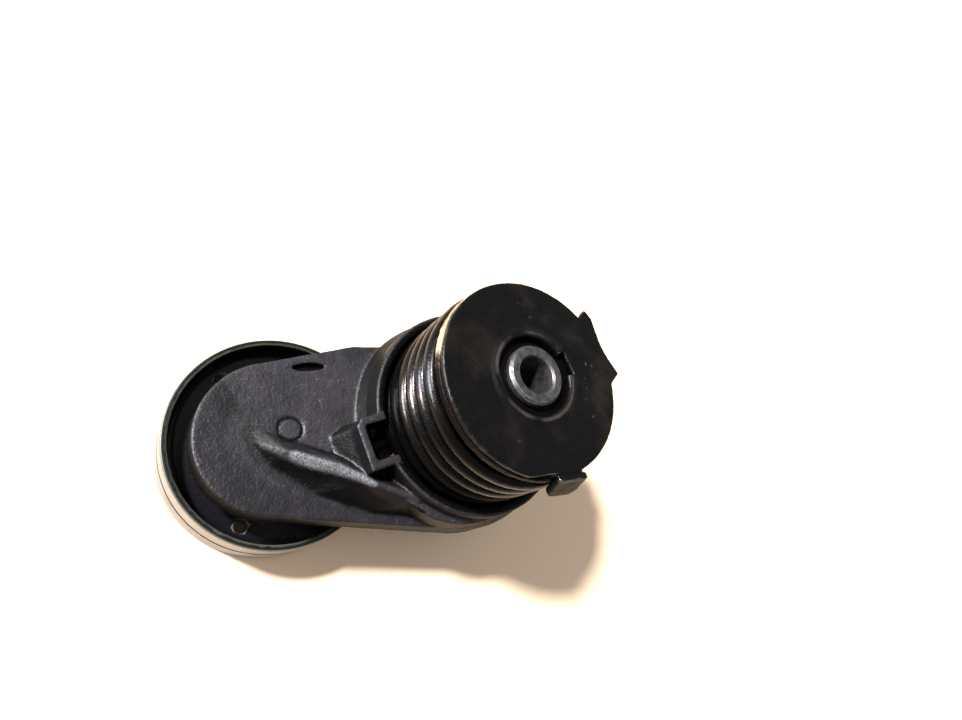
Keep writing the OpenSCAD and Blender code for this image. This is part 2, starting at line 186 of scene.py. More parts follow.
# the same between two places in millimetres
def reachIn(tree, value, low, high, outLow=0.0, outHigh=1.0):
    return rangeIn(tree, value, low * mm, high * mm, outLow, outHigh)


def mathIn(tree, kind, first, second=0.0):
    return nodeIn(tree, "Math", {0: first, 1: second}, operation=kind).outputs[0]


def timesIn(tree, first, *others):
    for other in others:
        first = mathIn(tree, "MULTIPLY", first, other)
    return first


# an even noise swings either way round a value
def swayIn(tree, value, noise, reach):
    return mathIn(tree, "ADD", value, timesIn(tree, mathIn(tree, "SUBTRACT", noise, 0.5), reach))


def mixIn(tree, share, first, second):
    return nodeIn(tree, "Mix", {0: share, 6: first, 7: second}, data_type="RGBA").outputs[2]


def mixValueIn(tree, share, first, second):
    return nodeIn(tree, "Mix", {0: share, 2: first, 3: second}).outputs[0]


def fieldIn(tree, name):
    return nodeIn(tree, "Attribute", attribute_name=name).outputs["Fac"]


# a dark colour laid over the paint that dulls its shine: real oil on the cream ring, painted shade on the
# arm, plate, spring and tube
def oilAndShadeOver(parts, share, colour, dull=0.85):
    tree = parts["tree"]
    clean = mathIn(tree, "SUBTRACT", 1.0, share)
    parts["colour"] = mixIn(tree, share, parts["colour"], colour)
    parts["metal"] = timesIn(tree, parts["metal"], clean)
    left = rangeIn(tree, share, 0, 1, 1, 1 - dull)
    parts["shine"] = timesIn(tree, left, parts["shine"])


# how far a spot is from an axis, and its place and flat place counted from there
def roundAxis(tree, spot, axis):
    centred = nodeIn(tree, "VectorMath", {0: spot, 1: (axis.x, axis.y, 0)}, operation="SUBTRACT").outputs[0]
    xyz = nodeIn(tree, "SeparateXYZ", {0: centred}).outputs
    flat = nodeIn(tree, "CombineXYZ", {0: xyz[0], 1: xyz[1]}).outputs[0]
    radius = nodeIn(tree, "VectorMath", {0: flat}, operation="LENGTH").outputs["Value"]
    return radius, xyz, flat


# a noise that is long round the axis and fine across it, as the marks of turning are
def turningIn(tree, radius, xyz, flat, around, along, detail=2, rough=0.55):
    unit = nodeIn(tree, "VectorMath", {0: flat}, operation="NORMALIZE").outputs[0]
    way = nodeIn(tree, "VectorMath", {0: unit, "Scale": around}, operation="SCALE").outputs[0]
    step = nodeIn(tree, "CombineXYZ", {0: timesIn(tree, radius, along), 2: timesIn(tree, xyz[2], along)})
    spun = nodeIn(tree, "VectorMath", {0: way, 1: step.outputs[0]}, operation="ADD").outputs[0]
    return noiseIn(tree, spun, 1, detail, rough)


# ranges are where a noise or mark starts and is full, then what it gives there
baseLook = {
    "dark": paint(30, 28, 30), "light": paint(60, 57, 60), "cloud": 70, "cloudRange": (0.35, 0.65),
    "grime": paint(18, 14, 12), "grimeScale": 110, "grimeRange": (0.55, 0.75), "hollowRange": (-0.15, -0.6),
    "bare": paint(150, 148, 145), "wear": (0.25, 0.7), "wearBreak": 1.2, "metal": 0.0, "bareMetal": 0.8,
    "rough": (0.35, 0.6), "roughRange": (0.3, 0.7), "bareRough": 0.35,
    "grain": 1400, "grainDepth": 0.06, "grainShade": (0.35, 0.7, 0, 0.5),
    "grainRough": (0.3, 0.7, -0.06, 0.08), "lump": 260, "lumpDepth": 0.1,
    "specks": None, "speckScale": 900, "speckPatch": (0.45, 0.6),
    "axis": None, "turning": (12, 3500), "turningDepth": 0.02, "turningRough": (0.3, 0.7, -0.05, 0.08),
    "shine": 0.25,
}


def finishOf(name, extra=None, **changes):
    look = {**baseLook, **changes}
    skin = bpy.data.materials.new(name)
    skin.use_nodes = True
    tree = skin.node_tree
    shader = tree.nodes["Principled BSDF"]
    spot = nodeIn(tree, "TexCoord").outputs["Object"]
    cloud = noiseIn(tree, spot, look["cloud"], detail=5)
    grain = noiseIn(tree, spot, look["grain"], detail=3)
    lump = noiseIn(tree, spot, look["lump"])
    edge = fieldIn(tree, "edge")

    colour = mixIn(tree, rangeIn(tree, cloud, *look["cloudRange"]), look["dark"], look["light"])
    colour = mixIn(tree, rangeIn(tree, grain, *look["grainShade"]), colour, look["dark"])
    blots = noiseIn(tree, spot, look["grimeScale"], detail=6, rough=0.65)
    grimeShare = rangeIn(tree, blots, *look["grimeRange"])
    grimeShare = mathIn(tree, "MAXIMUM", grimeShare, rangeIn(tree, edge, *look["hollowRange"]))
    colour = mixIn(tree, grimeShare, colour, look["grime"])
    worn = rangeIn(tree, swayIn(tree, edge, lump, look["wearBreak"]), *look["wear"])
    if look["specks"]:
        dots = noiseIn(tree, spot, look["speckScale"], detail=2, rough=0.5)
        dots = rangeIn(tree, dots, *look["specks"])
        worn = mathIn(tree, "MAXIMUM", worn, timesIn(tree, dots, rangeIn(tree, cloud, *look["speckPatch"])))
    colour = mixIn(tree, worn, colour, look["bare"])
    metal = rangeIn(tree, worn, 0, 1, look["metal"], look["bareMetal"])
    smoothest, roughest = look["rough"]
    rough = rangeIn(tree, cloud, *look["roughRange"], roughest, smoothest)
    rough = mathIn(tree, "ADD", rough, rangeIn(tree, grain, *look["grainRough"]))
    rough = mixValueIn(tree, worn, rough, look["bareRough"])
    height = mathIn(tree, "ADD", timesIn(tree, grain, look["grainDepth"] * mm),
                    timesIn(tree, lump, look["lumpDepth"] * mm))
    if look["axis"] is not None:
        lines = turningIn(tree, *roundAxis(tree, spot, look["axis"]), *look["turning"])
        height = mathIn(tree, "ADD", height, timesIn(tree, lines, look["turningDepth"] * mm))
        rough = mathIn(tree, "ADD", rough, rangeIn(tree, lines, *look["turningRough"]))
    parts = {"tree": tree, "spot": spot, "colour": colour, "metal": metal, "rough": rough, "height": height,
             "cloud": cloud, "lump": lump, "shine": look["shine"]}
    if extra:
        extra(parts)
    bump = nodeIn(tree, "Bump", {"Height": parts["height"], "Distance": 1.0, "Strength": 1.0}).outputs[0]
    for socket, value in (("Base Color", parts["colour"]), ("Metallic", parts["metal"]),
                          ("Roughness", parts["rough"]), ("Normal", bump)):
        tree.links.new(value, shader.inputs[socket])
    if isinstance(parts["shine"], bpy.types.NodeSocket):
        tree.links.new(parts["shine"], shader.inputs["Specular IOR Level"])
    else:
        shader.inputs["Specular IOR Level"].default_value = parts["shine"]
    return skin


# modelling steps that the pieces share
def only(obj):
    if bpy.context.object and bpy.context.object.mode != "OBJECT":
        bpy.ops.object.mode_set(mode="OBJECT")
    bpy.ops.object.select_all(action="DESELECT")
    obj.select_set(True)
    bpy.context.view_layer.objects.active = obj


def applied(obj, kind, **fields):
    only(obj)
    step = obj.modifiers.new(kind.lower(), kind)
    for key, value in fields.items():
        setattr(step, key, value)
    bpy.ops.object.modifier_apply(modifier=step.name)


def bevelled(obj, width, segments=2, angle=25):
    applied(obj, "BEVEL", width=width * mm, segments=segments, limit_method="ANGLE",
            angle_limit=math.radians(angle))


# below 0 on a shell that is inside out
def signedVolume(obj):
    obj.data.calc_loop_triangles()
    corners = np.array([t.vertices for t in obj.data.loop_triangles])
    spots = np.array([v.co for v in obj.data.vertices])
    a, b, c = (spots[corners[:, i]] for i in range(3))
    return float((a * np.cross(b, c)).sum())


def mergeDoubles(obj, gap=0.002):
    only(obj)
    bpy.ops.object.mode_set(mode="EDIT")
    bpy.ops.mesh.select_all(action="SELECT")
    bpy.ops.mesh.remove_doubles(threshold=gap * mm)
    bpy.ops.mesh.normals_make_consistent(inside=False)
    bpy.ops.object.mode_set(mode="OBJECT")
    if signedVolume(obj) < 0:
        obj.data.flip_normals()


# a point is drawn out along the outline, then the outline is spun round the axis
def turned(name, axis, outline, steps=96, edge=0.0, segments=2):
    spots = [Vector((axis.x + r * mm, axis.y, z * mm)) for r, z in outline]
    bpy.ops.object.select_all(action="DESELECT")
    bpy.ops.mesh.primitive_plane_add(size=mm, location=spots[0])
    obj = bpy.context.object
    obj.name = obj.data.name = name
    bpy.ops.object.transform_apply(location=True, rotation=True, scale=True)
    bpy.ops.object.mode_set(mode="EDIT")
    bpy.ops.mesh.select_mode(type="VERT")
    bpy.ops.mesh.select_all(action="SELECT")
    bpy.ops.mesh.merge(type="CENTER")
    for here, there in zip(spots, spots[1:] + spots[:1]):
        bpy.ops.mesh.extrude_region_move(TRANSFORM_OT_translate={"value": there - here})
    bpy.ops.mesh.select_all(action="SELECT")
    bpy.ops.mesh.remove_doubles(threshold=0.001 * mm)
    bpy.ops.mesh.select_all(action="SELECT")
    bpy.ops.mesh.spin(steps=steps, angle=2 * math.pi, center=(axis.x, axis.y, 0), axis=(0, 0, 1))
    bpy.ops.object.mode_set(mode="OBJECT")
    mergeDoubles(obj)
    if edge:
        bevelled(obj, edge, segments)
    return obj


# the points of a round corner, from one angle to another
def fillet(centre, radius, start, end, steps=5):
    turns = [math.radians(start + (end - start) * i / steps) for i in range(steps + 1)]
    return [(centre[0] + radius * math.cos(t), centre[1] + radius * math.sin(t)) for t in turns]


def toward(turn):
    return Vector((math.cos(math.radians(turn)), math.sin(math.radians(turn)), 0))


def atHeight(place, z):
    return Vector((place.x, place.y, z * mm))


def cutBy(obj, tool, way="DIFFERENCE"):
    applied(obj, "BOOLEAN", object=tool, operation=way, solver="EXACT")
    bpy.data.objects.remove(tool)


def rod(place, radius, depth, sides=32, rotation=(0, 0, 0)):
    bpy.ops.object.select_all(action="DESELECT")
    bpy.ops.mesh.primitive_cylinder_add(vertices=sides, radius=radius * mm, depth=depth * mm, location=place,
                                        rotation=rotation)
    tool = bpy.context.object
    bpy.ops.object.transform_apply(location=True, rotation=True, scale=True)
    return tool


# how sharply each point bulges (above 0) or is hollow (below 0), kept for the finish
def markEdges(obj, reach=0.6, passes=0):
    mesh = obj.data
    count = len(mesh.vertices)
    spots = np.empty(count * 3)
    mesh.vertices.foreach_get("co", spots)
    spots = spots.reshape(-1, 3)
    ways = np.empty(count * 3)
    mesh.vertex_normals.foreach_get("vector", ways)
    ways = ways.reshape(-1, 3)
    ends = np.empty(len(mesh.edges) * 2, int)
    mesh.edges.foreach_get("vertices", ends)
    first, second = ends.reshape(-1, 2).T
    span = spots[first] - spots[second]
    far = (span ** 2).sum(1) + 1e-12  # never 0, for the divisions below
    bulge = np.bincount(first, (ways[first] * span).sum(1) * 2 / far, count)
    bulge += np.bincount(second, -(ways[second] * span).sum(1) * 2 / far, count)
    near = np.maximum(np.bincount(first, minlength=count) + np.bincount(second, minlength=count), 1)
    sharpest = 1.5
    bulge = np.clip(bulge / near * reach * mm, -sharpest, sharpest)
    for _ in range(passes):
        around = np.bincount(first, bulge[second], count) + np.bincount(second, bulge[first], count)
        bulge = 0.5 * bulge + 0.5 * around / near
    setField(obj, "edge", bulge)
    return spots, ways


def setField(obj, name, values):
    keep = obj.data.attributes.new(name, "FLOAT", "POINT")
    keep.data.foreach_set("value", np.asarray(values, np.float32))


# the piece takes its finish, stands for its node and rides on its body
def finished(obj, skin, body, node, smooth=35):
    only(obj)
    bpy.ops.object.shade_smooth_by_angle(angle=math.radians(smooth))
    obj.data.materials.clear()
    obj.data.materials.append(skin)
    if "edge" not in obj.data.attributes:
        markEdges(obj)
    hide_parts(node)
    if body:
        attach(obj, body)


# a copy of a node, remeshed so that its edges are soft as on a casting or a pressing
def castFrom(node, name, voxel, smooths):
    bpy.ops.object.select_all(action="DESELECT")
    obj = bpy.data.objects.new(name, frame["nodes"][node].data.copy())
    bpy.context.scene.collection.objects.link(obj)
    obj.data.materials.clear()
    mergeDoubles(obj, 0.001)
    applied(obj, "REMESH", mode="VOXEL", voxel_size=voxel * mm)
    applied(obj, "SMOOTH", factor=0.5, iterations=smooths)
    return obj


def roughen(obj, name, size, depth):
    pattern = bpy.data.textures.new(name, "CLOUDS")
    pattern.noise_scale = size * mm
    applied(obj, "DISPLACE", texture=pattern, texture_coords="LOCAL", strength=depth * mm, mid_level=0.5)


# no point of a roughened piece leaves its node's box
def keepInside(obj, node):
    low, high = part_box(node)
    spots = np.empty(len(obj.data.vertices) * 3)
    obj.data.vertices.foreach_get("co", spots)
    spots = np.clip(spots.reshape(-1, 3), np.array(low), np.array(high))
    obj.data.vertices.foreach_set("co", spots.ravel())
    obj.data.update()


def slim(obj, most):
    faces = sum(len(f.vertices) - 2 for f in obj.data.polygons)
    if faces > most:
        applied(obj, "DECIMATE", decimate_type="COLLAPSE", ratio=most / faces)


# arm casting; heights are counted from the deck, and the rib's places run along its crest from 0 to 1
casting = {
    "voxel": 0.4, "smooths": 6, "waves": (8, 0.3), "grit": (1.5, 0.16), "most": 190000, "edges": (1.4, 2),
    "deck": -47.0, "rim": -34.5,
    "crest": ((-64.5, -0.5), (-62.5, -4.4), (-57.6, -8), (-52, -10.6), (-45, -13.2), (-39, -16.2), (-34, -20),
              (-27, -24.5)),
    "sideFrom": (0.66, 2.2), "sideStart": 3.6, "sideTo": 7.4, "sideGrows": (0, 0.4), "sideSoft": 0.9,
    "sideFoot": (-0.3, 0.5), "sideHead": (10, 11),
    "scoop": 0.8, "scoopIn": (0.05, 0.35), "scoopOut": (0.75, 0.95),
    # painted highlight: a lighter line along these points of the crest, on faces turned upward
    "crestHighlight": ((-55.4, -8.9), (-50.5, -11.2), (-44.5, -13.7), (-39, -16.7), (-35, -19.4)),
    "crestHighlightWide": 1.35, "crestHighlightThins": 0.95, "crestHighlightSoft": 0.7, "crestHighlightHigh": (2, 4),
    "crestHighlightLevel": (0.3, 0.7), "cupR": (32.3, 32.8), "cupFloor": (-3, -2),
    "pocketAt": 193, "pocketHalf": 5.25, "pocketFar": 37.1, "pocketNear": 28, "pocketLip": 0.15,
    "besideHalf": 2.8, "besideNear": 30.3, "besideFar": 45, "topEdge": 0.5,
    # painted shade on the flanks, on the deck away from the crest and in the dimple's groove
    "flank": (0.5, 0.9), "flankLow": 0.9, "flankHigh": 0.78, "flankFrom": -0.5,
    "deckShade": 0.4, "deckFrom": (6, 10), "deckHigh": (1, 2),
    "dimpleR": 3.3, "dimpleShade": 0.75, "dimpleSoft": (0.3, 0.75), "dimpleHigh": (0.3, 0.6),
}
# marks on the casting; the near-black colour with its dulling and roughness is painted shade, and the crest's
# colour a painted highlight
castMarks = {
    "scratchTurn": -38, "scratchSize": (160, 2400, 900), "scratch": (0.58, 0.74, 0, 0.5),
    "scratchBreak": (0.4, 0.6), "scratchColour": paint(84, 80, 88), "paintedShade": paint(4, 4, 5),
    "paintedShadeDull": 0.75, "paintedShadeRough": 0.42, "fleckSize": 1900, "fleck": (0.38, 0.58, 0.1, 1),
    "crestHighlightColour": paint(112, 113, 118), "crestDepth": 0.12,
}


# distance from the line, above 0 on its outer side, and how far along the line the nearest place is
def alongLine(spots, line):
    best = np.full(len(spots), 1e9)
    side = np.zeros(len(spots))
    share = np.zeros(len(spots))
    for i, ((ax, ay), (bx, by)) in enumerate(zip(line, line[1:])):
        way = np.array((bx - ax, by - ay)) * mm
        rel = spots[:, :2] - np.array((ax, ay)) * mm
        along = np.clip(rel @ way / (way @ way), 0, 1)
        far = np.hypot(*(rel - along[:, None] * way).T)
        closer = far < best
        outer = np.sign(way[1] * rel[:, 0] - way[0] * rel[:, 1])
        best = np.where(closer, far, best)
        side = np.where(closer, outer, side)
        share = np.where(closer, (i + along) / (len(line) - 1), share)
    return best / mm * side, share


def ramp(values, low, high):
    t = np.clip((values - low) / (high - low), 0, 1)
    return t * t * (3 - 2 * t)


def armFinish(parts):
    tree, c = parts["tree"], castMarks
    crest, paintedShade = fieldIn(tree, "crest"), fieldIn(tree, "paintedShade")
    turn = (0, 0, math.radians(c["scratchTurn"]))
    drawn = nodeIn(tree, "Mapping", {0: parts["spot"], "Rotation": turn, "Scale": c["scratchSize"]})
    scratch = rangeIn(tree, noiseIn(tree, drawn.outputs[0], 1, detail=3, rough=0.6), *c["scratch"])
    scratch = timesIn(tree, scratch, rangeIn(tree, parts["lump"], *c["scratchBreak"]))
    parts["colour"] = mixIn(tree, scratch, parts["colour"], c["scratchColour"])
    # painted shade: near black beside the rib, in the cup and pocket, on the flanks and on the deck
    oilAndShadeOver(parts, paintedShade, c["paintedShade"], c["paintedShadeDull"])
    parts["rough"] = mixValueIn(tree, paintedShade, parts["rough"], c["paintedShadeRough"])
    fleck = noiseIn(tree, parts["spot"], c["fleckSize"], rough=0.75)
    # painted highlight along the rib's crest, broken into flecks
    crestHighlight = timesIn(tree, crest, rangeIn(tree, fleck, *c["fleck"]))
    parts["colour"] = mixIn(tree, crestHighlight, parts["colour"], c["crestHighlightColour"])
    parts["height"] = mathIn(tree, "ADD", parts["height"], timesIn(tree, fleck, crest, c["crestDepth"] * mm))


# painted shade lies beside the rib, in the cup, round the pocket, on the flanks, on the deck away from the
# crest and in the dimple's groove
def paintedShadeOn(spots, ways, high, away, band):
    c = casting
    radius = np.hypot(spots[:, 0], spots[:, 1]) / mm
    recessShade = (1 - ramp(radius, *c["cupR"])) * ramp(high, *c["cupFloor"])
    at = math.radians(c["pocketAt"])
    across = np.abs(spots[:, 1] * math.cos(at) - spots[:, 0] * math.sin(at)) / mm
    out = (spots[:, 0] * math.cos(at) + spots[:, 1] * math.sin(at)) / mm
    inPocket = (across < c["pocketHalf"] + c["pocketLip"]) & (out < c["pocketFar"] + c["pocketLip"])
    inPocket &= out > c["pocketNear"]
    beside = (across < c["pocketHalf"] + c["besideHalf"]) & (out > c["besideNear"]) & (out < c["besideFar"])
    topFace = c["rim"] - c["deck"] - c["topEdge"]
    recessShade = np.where(beside, np.where(inPocket & (high < topFace), 1, 0), recessShade)
    flankShade = np.where(high < c["flankFrom"], c["flankLow"], c["flankHigh"])
    flank = (1 - ramp(ways[:, 2], *c["flank"])) * flankShade
    onDeck = c["deckShade"] * ramp(away, *c["deckFrom"]) * (1 - ramp(high, *c["deckHigh"]))
    markR = np.hypot(spots[:, 0] - pulleyAxis.x, spots[:, 1] - pulleyAxis.y) / mm
    groove = 1 - ramp(np.abs(markR - c["dimpleR"]), *c["dimpleSoft"])
    onDeck += c["dimpleShade"] * groove * (1 - ramp(high, *c["dimpleHigh"]))
    return np.maximum.reduce((band, recessShade, flank, onDeck))


def makeArm():
    c = casting
    arm = castFrom("tensioner_arm", "armCasting", c["voxel"], c["smooths"])
    roughen(arm, "castWaves", *c["waves"])
    roughen(arm, "castGrit", *c["grit"])
    slim(arm, c["most"])
    spots, ways = markEdges(arm, *c["edges"])
    high = (spots[:, 2] - c["deck"] * mm) / mm
    away, share = alongLine(spots, c["crest"])
    widest = c["sideStart"] + (c["sideTo"] - c["sideStart"]) * ramp(share, *c["sideGrows"])
    band = ramp(away, *c["sideFrom"]) * (1 - ramp(away, widest, widest + c["sideSoft"]))
    band *= ramp(high, *c["sideFoot"]) * (1 - ramp(high, *c["sideHead"]))
    scoop = band * np.sin(np.clip(away / widest, 0, 1) * math.pi)
    scoop = scoop * ramp(share, *c["scoopIn"]) * (1 - ramp(share, *c["scoopOut"]))
    spots = spots - ways * (scoop * c["scoop"] * mm)[:, None]
    arm.data.vertices.foreach_set("co", spots.ravel())
    keepInside(arm, "tensioner_arm")
    # a painted highlight along the crest, on faces turned upward
    near, place = alongLine(spots, c["crestHighlight"])
    wide = c["crestHighlightWide"] - c["crestHighlightThins"] * place
    crestHighlightMask = 1 - ramp(np.abs(near), wide, wide + c["crestHighlightSoft"])
    crestHighlightMask = crestHighlightMask * ramp(high, *c["crestHighlightHigh"]) * ramp(ways[:, 2], *c["crestHighlightLevel"])
    setField(arm, "crest", crestHighlightMask)
    # painted shade, kept as a field for the finish
    setField(arm, "paintedShade", paintedShadeOn(spots, ways, high, away, band))
    skin = finishOf("oilyCastMetal", armFinish, dark=paint(19, 17, 20), light=paint(50, 46, 53), cloud=75,
                    cloudRange=(0.3, 0.7), grime=paint(15, 12, 10), bare=paint(92, 90, 92), wear=(1.0, 1.7),
                    bareMetal=0.35, bareRough=0.5, rough=(0.4, 0.6), grain=1300, grainDepth=0.2, lump=300,
                    lumpDepth=0.26, specks=(0.68, 0.76), shine=0.27)
    finished(arm, skin, "arm", "tensioner_arm", smooth=60)
    print("arm casting", len(arm.data.polygons))


makeArm()


# base plate; each range of radii says where a mark starts and is full
plate = {
    "voxel": 0.36, "smooths": 5, "dents": (12, 0.45), "nicks": (2.0, 0.12), "most": 120000, "edges": (0.9, 1),
    # a painted highlight on the raised ring round the bore, then real scuffs further out
    "ringHighlightIn": (12.1, 12.6), "ringHighlightOut": (13.5, 13.0), "ringHighlightPatch": (0.42, 0.6, 0, 0.35), "highlightAndScuffShare": 0.6,
    "scuffIn": (17, 19), "scuffOut": (24, 20), "scuffSize": 620, "scuff": (0.64, 0.72),
    "patchSize": 75, "patch": (0.52, 0.62), "highlightAndScuffColour": paint(112, 106, 102),
    # painted shade on the plate's underside and the tab below it
    "oilAndShadeFrom": (-2.9, -3.3), "oilAndShade": paint(5, 5, 6), "shadeDull": 0.6,
}


def plateFinish(parts):
    tree, c = parts["tree"], plate
    radius, xyz, _ = roundAxis(tree, parts["spot"], pivotAxis)
    # painted highlight on the raised ring round the bore, in patches, joined by real scuffs further out
    highlightAndScuff = timesIn(tree, reachIn(tree, radius, *c["ringHighlightIn"]), reachIn(tree, radius, *c["ringHighlightOut"]))
    highlightAndScuff = timesIn(tree, highlightAndScuff, rangeIn(tree, parts["cloud"], *c["ringHighlightPatch"]))
    outer = timesIn(tree, reachIn(tree, radius, *c["scuffIn"]), reachIn(tree, radius, *c["scuffOut"]))
    scuff = rangeIn(tree, noiseIn(tree, parts["spot"], c["scuffSize"], detail=3, rough=0.6), *c["scuff"])
    patch = rangeIn(tree, noiseIn(tree, parts["spot"], c["patchSize"], detail=2), *c["patch"])
    highlightAndScuff = mathIn(tree, "MAXIMUM", highlightAndScuff, timesIn(tree, scuff, patch, outer))
    parts["colour"] = mixIn(tree, timesIn(tree, highlightAndScuff, c["highlightAndScuffShare"]), parts["colour"], c["highlightAndScuffColour"])
    # painted shade: near black below the plate's face, on its underside and the tab
    oilAndShadeOver(parts, reachIn(tree, xyz[2], *c["oilAndShadeFrom"]), c["oilAndShade"], c["shadeDull"])


def makePlate():
    disc = castFrom("base_plate", "basePlate", plate["voxel"], plate["smooths"])
    roughen(disc, "plateDents", *plate["dents"])
    roughen(disc, "plateNicks", *plate["nicks"])
    keepInside(disc, "base_plate")
    slim(disc, plate["most"])
    markEdges(disc, *plate["edges"])
    skin = finishOf("oilyBlackSheet", plateFinish, dark=paint(5, 4, 4), light=paint(27, 23, 21), cloud=60,
                    cloudRange=(0.46, 0.68), grime=paint(6, 5, 5), bare=paint(120, 116, 114),
                    wear=(0.85, 1.4), rough=(0.3, 0.42), grain=1200, grainDepth=0.012, lump=240,
                    lumpDepth=0.1, shine=0.13)
    finished(disc, skin, "base", "base_plate", smooth=60)
    print("base plate", len(disc.data.polygons))


makePlate()


# torsion spring, a coil from "from" degrees at the top through "sweep" degrees, with a bent leg at each end
spring = {
    "midR": 27.2, "wireR": 2.48, "top": -8.1, "low": -44.7, "from": 24, "sweep": 2320, "sides": 20,
    "steps": 52, "bend": 81, "bendR": 5.04, "bendSteps": 9, "endSlack": 0.15, "lean": 9, "tipR": 34.5,
    "tipRound": 0.5, "tipShare": 0.8, "shadeFrom": (2, -14, 0, 0.75), "shade": paint(13, 12, 12),
    # painted shade: the low turns deep in the cup near black
    "oilAndShadeFrom": (-24, -28.5), "oilAndShade": paint(5, 5, 6), "shadeDull": 0.95,
}


# the end ring is spun round the bend's centre, drawn out to the tip and rounded off
def bendLeg(coil, at, z, turn):
    outward = toward(at)
    end = outward * spring["midR"] * mm + Vector((0, 0, z * mm))
    centre = end + outward * spring["bendR"] * mm
    only(coil)
    for v in coil.data.vertices:
        v.select = (v.co - end).length < (spring["wireR"] + spring["endSlack"]) * mm
    for e in coil.data.edges:
        e.select = all(coil.data.vertices[i].select for i in e.vertices)
    for f in coil.data.polygons:
        f.select = False
    bpy.ops.object.mode_set(mode="EDIT")
    bpy.ops.mesh.select_mode(type="EDGE")
    bpy.ops.mesh.spin(steps=spring["bendSteps"], angle=-math.radians(turn), center=centre, axis=(0, 0, 1))
    way = toward(at - math.copysign(spring["lean"], turn))
    reach = spring["tipR"] - (spring["midR"] + spring["bendR"]) * math.cos(math.radians(spring["lean"]))
    reach -= spring["tipRound"]
    bpy.ops.mesh.extrude_region_move(TRANSFORM_OT_translate={"value": way * reach * mm})
    bpy.ops.mesh.extrude_region_move(TRANSFORM_OT_translate={"value": way * spring["tipRound"] * mm})
    bpy.ops.transform.resize(value=(spring["tipShare"],) * 3)
    bpy.ops.mesh.edge_face_add()
    bpy.ops.mesh.select_mode(type="VERT")
    bpy.ops.object.mode_set(mode="OBJECT")


# painted shade: the coil darker towards −Y, and the low turns deep in the cup near black
def springFinish(parts):
    tree = parts["tree"]
    xyz = nodeIn(tree, "SeparateXYZ", {0: parts["spot"]}).outputs
    under = reachIn(tree, xyz[1], *spring["shadeFrom"])
    parts["colour"] = mixIn(tree, under, parts["colour"], spring["shade"])
    oilAndShadeOver(parts, reachIn(tree, xyz[2], *spring["oilAndShadeFrom"]), spring["oilAndShade"], spring["shadeDull"])


def makeSpring():
    turns = spring["sweep"] / 360
    start = (spring["midR"] * mm, 0, spring["top"] * mm)
    bpy.ops.object.select_all(action="DESELECT")
    bpy.ops.mesh.primitive_circle_add(vertices=spring["sides"], radius=spring["wireR"] * mm,
                                      rotation=(math.pi / 2, 0, 0), location=start)
    coil = bpy.context.object
    coil.name = coil.data.name = "torsionSpring"
    bpy.ops.object.transform_apply(location=True, rotation=True, scale=True)
    count = round(spring["steps"] * turns)
    applied(coil, "SCREW", angle=turns * 2 * math.pi, screw_offset=(spring["low"] - spring["top"]) * mm,
            steps=count, render_steps=count, axis="Z", use_merge_vertices=False)
    only(coil)
    bpy.ops.object.mode_set(mode="EDIT")
    bpy.ops.mesh.select_all(action="SELECT")
    bpy.ops.transform.rotate(value=-math.radians(spring["from"]), orient_axis="Z", center_override=(0, 0, 0))
    bpy.ops.object.mode_set(mode="OBJECT")
    last = (spring["from"] + spring["sweep"]) % 360
    bendLeg(coil, spring["from"], spring["top"], spring["bend"])
    bendLeg(coil, last, spring["low"], -spring["bend"])
    mergeDoubles(coil)
    markEdges(coil, 0.2)
    skin = finishOf("oilySpringSteel", springFinish, dark=paint(20, 20, 23), light=paint(52, 44, 40),
                    cloud=130, cloudRange=(0.45, 0.66), grime=paint(12, 11, 11), grimeScale=90,
                    bare=paint(150, 140, 135), wear=(0.8, 1.15), metal=0.8, rough=(0.16, 0.3), grain=1800,
                    grainDepth=0.012, lump=420, lumpDepth=0.05)
    finished(coil, skin, None, "torsion_spring", smooth=60)
    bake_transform(coil)
    print("torsion spring", len(coil.data.polygons))


makeSpring()


# pulley, two pressed halves that meet at the split; a half's heights are counted away from the split
pulley = {
    "rimR": 32.5, "wall": 1.8, "split": -68.0, "half": 9.0, "groove": 0.7, "collarR": 21.8, "boreR": 20.0,
    "webHoles": (4, 124, 244), "holeRing": 26.0, "holeR": 2.1, "steps": 180, "edge": 0.12, "edgeAngle": 40,
    "lipR": 0.45, "lipTop": 0.5, "innerLipR": 0.4, "cornerR": 2.6, "footR": 2.2, "collarEdgeR": 0.5,
    "boreEdge": 0.3, "foldR": 0.7, "foldInR": 18.3, "foldT": 1.15, "foldEdge": (0.2, 0.25),
    "holeDepth": 20, "holeSides": 36,
}
pulleyHalves = (  # node, piece, side of the split, height of the collar, folded collar or not
    ("pulley_rear_half", "pulleyRearHalf", 1, 7.8, False),
    ("pulley_front_half", "pulleyFrontHalf", -1, 5.4, True),
)
rimMarks = {
    "turning": (9, 2600), "steel": (paint(148, 148, 150), paint(116, 115, 114)), "streak": (0.3, 0.7),
    "stainSize": 120, "stain": (0.5, 0.72), "stainShare": 0.55, "stainColour": paint(120, 108, 92),
    "rimFrom": (0.45, 0.2), "grooveFrom": (0.95, 0.7), "grooveColour": paint(6, 6, 6),
    "shoulderFrom": (0.9, 0.3), "ragged": (0.7, 0.75, 1.1), "raggedColour": paint(92, 90, 78),
    "lipFrom": (0.45, 0.2), "bandSway": 1.6, "bandFrom": (0.1, 0.7), "lipPatch": (0.35, 0.6, 0.35, 0.9),
    "lipColour": paint(70, 70, 60), "metal": 0.15, "rough": 0.34, "streakDepth": 0.02,
}


